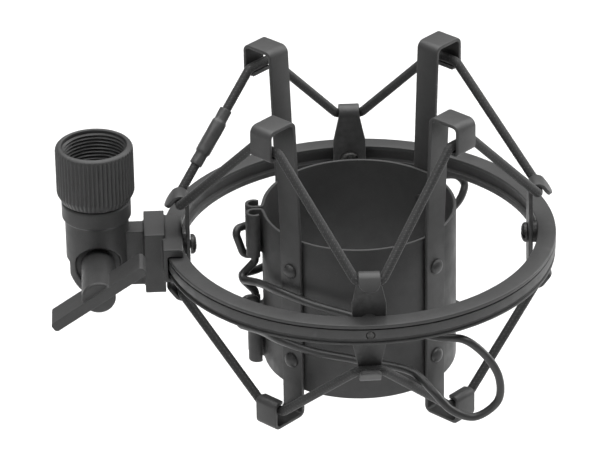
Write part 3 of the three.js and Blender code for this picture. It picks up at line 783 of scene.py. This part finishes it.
FRONT_PINS = (
    [(CURL_X, -CURL_Y, -1.2), (CURL_X, -CURL_Y, -6.9), (-30.4, -3, -11.4)],
    [(CURL_X, -CURL_Y, -23.6), (CURL_X, -CURL_Y, -17.4), (-28.8, -2.6, -17.4), (-31, -2.8, -24.4)],
)
REAR_PINS = (
    [(CURL_X, CURL_Y, -1.4), (CURL_X, CURL_Y, -7.6), (-28.8, 2.6, -7.6), (-31, 2.8, -0.6)],
    [(CURL_X, CURL_Y, -23.8), (CURL_X, CURL_Y, -18.1), (-30.4, 3, -13.6)],
)


def wire_handle(loop, pins):
    first_pin, last_pin = pins
    first = filleted(list(first_pin) + [loop[0]], 1.5, 20)
    last = filleted([loop[-1]] + list(reversed(last_pin)), 1.5, 20)
    middle = spline([first[-2]] + list(loop) + [last[1]], 14)
    points = first[:-2] + middle + last[2:]
    kept = [np.array(points[0], float)]
    for point in points[1:]:
        if np.linalg.norm(np.array(point) - kept[-1]) > 0.12:
            kept.append(np.array(point, float))
    kept = [kept[0], kept[0] + 0.02 * (kept[1] - kept[0]), *kept[1:]]
    tips = [(0, 0.8), (-1, 0.8)]
    return bare_object("wire", tube(kept, WIRE_R, 20, tips=tips), sharp=60)


# ---- elastic cords ----
FOLD_DROP = (CORD_R + SEAT + HOOK_THICK / 2 - HOOK_FOLD_R) / math.sin(HOOK_LEAN / 2)
RING_CORD_R = FOLD_CENTRE_R + FOLD_DROP * math.sin(HOOK_LEAN / 2)
RING_CORD_TOP = RING_MID + FOLD_Z - FOLD_DROP * math.cos(HOOK_LEAN / 2)
RING_CORD_LOW = RING_MID - FOLD_Z + FOLD_DROP * math.cos(HOOK_LEAN / 2)
STRAP_CORD_TOP = STRAP_TOP_LIP + STRAP_THICK / 2 + CORD_R + SEAT
STRAP_CORD_LOW = STRAP_LOW_LIP - 0.5 - STRAP_THICK / 2 - CORD_R - SEAT


def cord_plan(strap_z, hook_z, first_strap, share):
    """The corners of one cord, once round from the strap at that angle, and where its two ends meet."""
    corners = []
    strap_exit = STRAP_WIDTH / 2 + 0.5
    for i in range(4):
        strap_angle = first_strap + 90 * i
        hook_angle = strap_angle + 45
        corners.append(on_circle(CORD_STRAP_R, strap_angle, -strap_exit, strap_z))
        corners.append(on_circle(CORD_STRAP_R, strap_angle, strap_exit, strap_z))
        corners.append(on_circle(RING_CORD_R, hook_angle, -HOOK_EXIT, hook_z))
        corners.append(on_circle(RING_CORD_R, hook_angle, HOOK_EXIT, hook_z))
    along = unit(corners[2] - corners[1])
    return corners, along, corners[1] + (corners[2] - corners[1]) * share


def braided_cord(plan):
    """A closed loop of round braid, with each stitch of the cover as real relief."""
    corners, _, middle = plan
    path = [middle] + corners[2:] + corners[:2] + [middle]
    points = evenly(filleted(path, 1.8, 24), BRAID_STEP)[:-1]
    side, up = frames_along(points, True)
    sides = 32
    angles = np.arange(sides) * 2 * math.pi / sides
    stations = np.arange(len(points))
    laps = round(len(points) * BRAID_STEP / BRAID_LAY)
    run = stations / len(points) * laps * BRAID_STRANDS
    around = angles / (2 * math.pi) * BRAID_STRANDS
    u = around[None, :] + run[:, None]
    v = around[None, :] - run[:, None]
    over = (np.floor(u) + np.floor(v)) % 2 == 0
    across = np.where(over, u % 1, v % 1)
    length = np.where(over, v % 1, u % 1)
    crown = np.sqrt(np.sin(math.pi * across) * 0.92 + 0.04) * (0.45 + 0.55 * np.sin(math.pi * length))
    radius = CORD_R - BRAID_RELIEF + BRAID_RELIEF * crown
    ring = np.cos(angles)[None, :, None] * side[:, None] + np.sin(angles)[None, :, None] * up[:, None]
    thing = bare_object("cord", lofted(points[:, None] + ring * radius[..., None], joined=True), sharp=80)
    # flags some stitch crowns for painted glints, pale marks in place of the braid's highlights
    painted_glint_mask = over & ((np.floor(u) % 2) == 1) & (crown > 0.72)
    for name, values in (("crown", crown), ("painted_glint", painted_glint_mask.astype(float))):
        attribute = thing.data.attributes.new(name, "FLOAT", "POINT")
        attribute.data.foreach_set("value", values.reshape(-1).astype(np.float32))
    return thing


def sleeve(plan):
    corners, along, middle = plan
    half = SLEEVE_LENGTH / 2
    neck = SLEEVE_R - 0.3
    corners = [
        (CORD_R + 0.05, -half), (neck, -half), (neck, -half + 3.1), (SLEEVE_R, -half + 3.7),
        (SLEEVE_R, half - 3.7), (neck, half - 3.1), (neck, half), (CORD_R + 0.05, half),
    ]
    profile = [(r, z) for r, z in filleted(corners, 0.3, 10, closed=True)]
    fine = []
    for (r0, z0), (r1, z1) in zip(profile, profile[1:] + profile[:1]):
        parts = max(1, round(math.hypot(r1 - r0, z1 - z0) / 0.6))
        fine += [(r0 + (r1 - r0) * k / parts, z0 + (z1 - z0) * k / parts) for k in range(parts)]

    def shape(angles, row):
        r, z = fine[row]
        if r < CORD_R + 0.1:
            return np.zeros(len(angles))
        return 0.05 * np.sin(3 * angles + 0.5 * z) + 0.035 * np.sin(5 * angles - 0.8 * z) - 0.06

    turn = Vector((0, 0, 1)).rotation_difference(Vector(along)).to_matrix().to_4x4()
    matrix = Matrix.Translation(Vector(middle)) @ turn
    return bare_object("sleeve", moved(turned(fine, 40, shape, closed=True), matrix), sharp=50)


def make_elastic(level, strap_z, hook_z, first_strap):
    """The cord and its sleeve stretch between the ring's hooks and the basket's straps."""
    plan = cord_plan(strap_z, hook_z, STRAP_ANGLES[first_strap], SLEEVE_PLACE[level])
    for kind, make, slot in (("_elastic", braided_cord, "cord"), ("_sleeve", sleeve, "sleeve")):
        thing = finish_piece(make(plan), level + kind, MATERIALS[slot])
        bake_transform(thing)


# ---- the object ----
def build(node, thing, slot, body):
    finish_piece(thing, node, MATERIALS[slot], body)


def make_object():
    build("knurled_collar", knurled_collar(), "collar", "collar")
    build("retaining_screw", retaining_screw(), "blacked_steel", "post")
    build("swivel_post", softened("swivel_post", 0.22, 6), "paint", "post")
    build("clamp_screw", softened("clamp_screw", 0.15, 3), "handle_paint", "clamp")
    build("ring_bracket", softened("ring_bracket", 0.2, 5), "paint", "ring")
    build("outer_ring", outer_ring(), "ring_paint", "ring")
    slot_turns = {"left": 90, "right": 90, "front": 20, "rear": 55}
    for name, angle in HOOK_ANGLES.items():
        screw_end = LEFT_SCREW_END if name == "left" else RING_R - 0.05
        build("ring_hook_" + name, ring_hook(angle), "hook_paint", "ring")
        screw = hook_screw(angle, slot_turns[name], screw_end)
        build("hook_screw_" + name, screw, "blacked_steel", "ring")
    build("basket_shell", basket_shell(), "shell_paint", "cage")
    for name, angle in STRAP_ANGLES.items():
        build("strap_" + name, strap(angle), "strap_paint", "cage")
        for level, z in RIVET_Z.items():
            build("rivet_" + level + "_" + name, rivet(angle, z), "rivet", "cage")
    build("front_handle", wire_handle(FRONT_LOOP, FRONT_PINS), "wire", "front_handle")
    build("rear_handle", wire_handle(REAR_LOOP, REAR_PINS), "wire", "rear_handle")
    make_elastic("upper", STRAP_CORD_TOP, RING_CORD_TOP, "rear_left")
    make_elastic("lower", STRAP_CORD_LOW, RING_CORD_LOW, "rear_right")


# ---- studio ----
VIEW_ELEVATION = math.radians(28.47)
VIEW_TURN = math.radians(3)
VIEW_ROLL = math.radians(-1)
VIEW_DISTANCE = 1.1
AIM_RIGHT = -0.01335
AIM_UP = -0.00193
SENSOR_MM = 36
LENS_MM = 265.2
FLOOR_DROP = 0.16


def make_camera():
    data = bpy.data.cameras.new("camera")
    data.sensor_width = SENSOR_MM
    data.lens = LENS_MM
    data.clip_start = 0.05
    data.clip_end = 20
    camera = bpy.data.objects.new("camera", data)
    bpy.context.scene.collection.objects.link(camera)
    turn = Matrix.Rotation(-VIEW_TURN, 3, "Z")
    away = turn @ Vector((0, -math.cos(VIEW_ELEVATION), math.sin(VIEW_ELEVATION)))
    right = turn @ Vector((1, 0, 0))
    up = right.cross(-away)
    forward = (-away + AIM_RIGHT * right + AIM_UP * up).normalized()
    level = forward.cross(Vector((0, 0, 1))).normalized()
    upright = level.cross(forward)
    x = level * math.cos(VIEW_ROLL) + upright * math.sin(VIEW_ROLL)
    y = upright * math.cos(VIEW_ROLL) - level * math.sin(VIEW_ROLL)
    matrix = Matrix((x, y, -forward)).transposed().to_4x4()
    matrix.translation = Vector(CENTRE) + away * VIEW_DISTANCE
    camera.matrix_world = matrix
    bpy.context.scene.camera = camera


def make_floor():
    size = 8
    z = cad_bounds[0][2] - FLOOR_DROP
    mesh = bpy.data.meshes.new("floor")
    corners = [(-size, -size, z), (size, -size, z), (size, size, z), (-size, size, z)]
    mesh.from_pydata(corners, [], [(0, 1, 2, 3)])
    floor = bpy.data.objects.new("floor", mesh)
    bpy.context.scene.collection.objects.link(floor)
    n = Nodes("pale_floor")
    n.join("Base Color", n.mixed(n.noise(400, 2), grey(0.77), grey(0.8)))
    n.value("Roughness", 0.9)
    mesh.materials.append(n.material)


def soft_light(name, position, size, power):
    data = bpy.data.lights.new(name, "AREA")
    data.shape = "RECTANGLE"
    data.size, data.size_y = size
    data.energy = power
    light = bpy.data.objects.new(name, data)
    bpy.context.scene.collection.objects.link(light)
    target = Vector(CENTRE)
    light.location = target + Vector(position)
    light.rotation_euler = (target - light.location).to_track_quat("-Z", "Y").to_euler()


def make_lights():
    world = bpy.data.worlds.new("studio")
    bpy.context.scene.world = world
    world.use_nodes = True
    back = world.node_tree.nodes["Background"]
    back.inputs["Color"].default_value = (1, 1, 1, 1)
    back.inputs["Strength"].default_value = 0.3
    soft_light("overhead", (0, 0.2, 1.6), (2.4, 2.4), 60)
    soft_light("right_rear", (1.3, 0.7, 0.6), (0.8, 1.2), 12)
    soft_light("left_front", (-1.2, -0.9, 0.9), (0.9, 1.0), 2)
    bpy.context.scene.view_settings.view_transform = "Standard"


make_object()
make_camera()
make_floor()
make_lights()
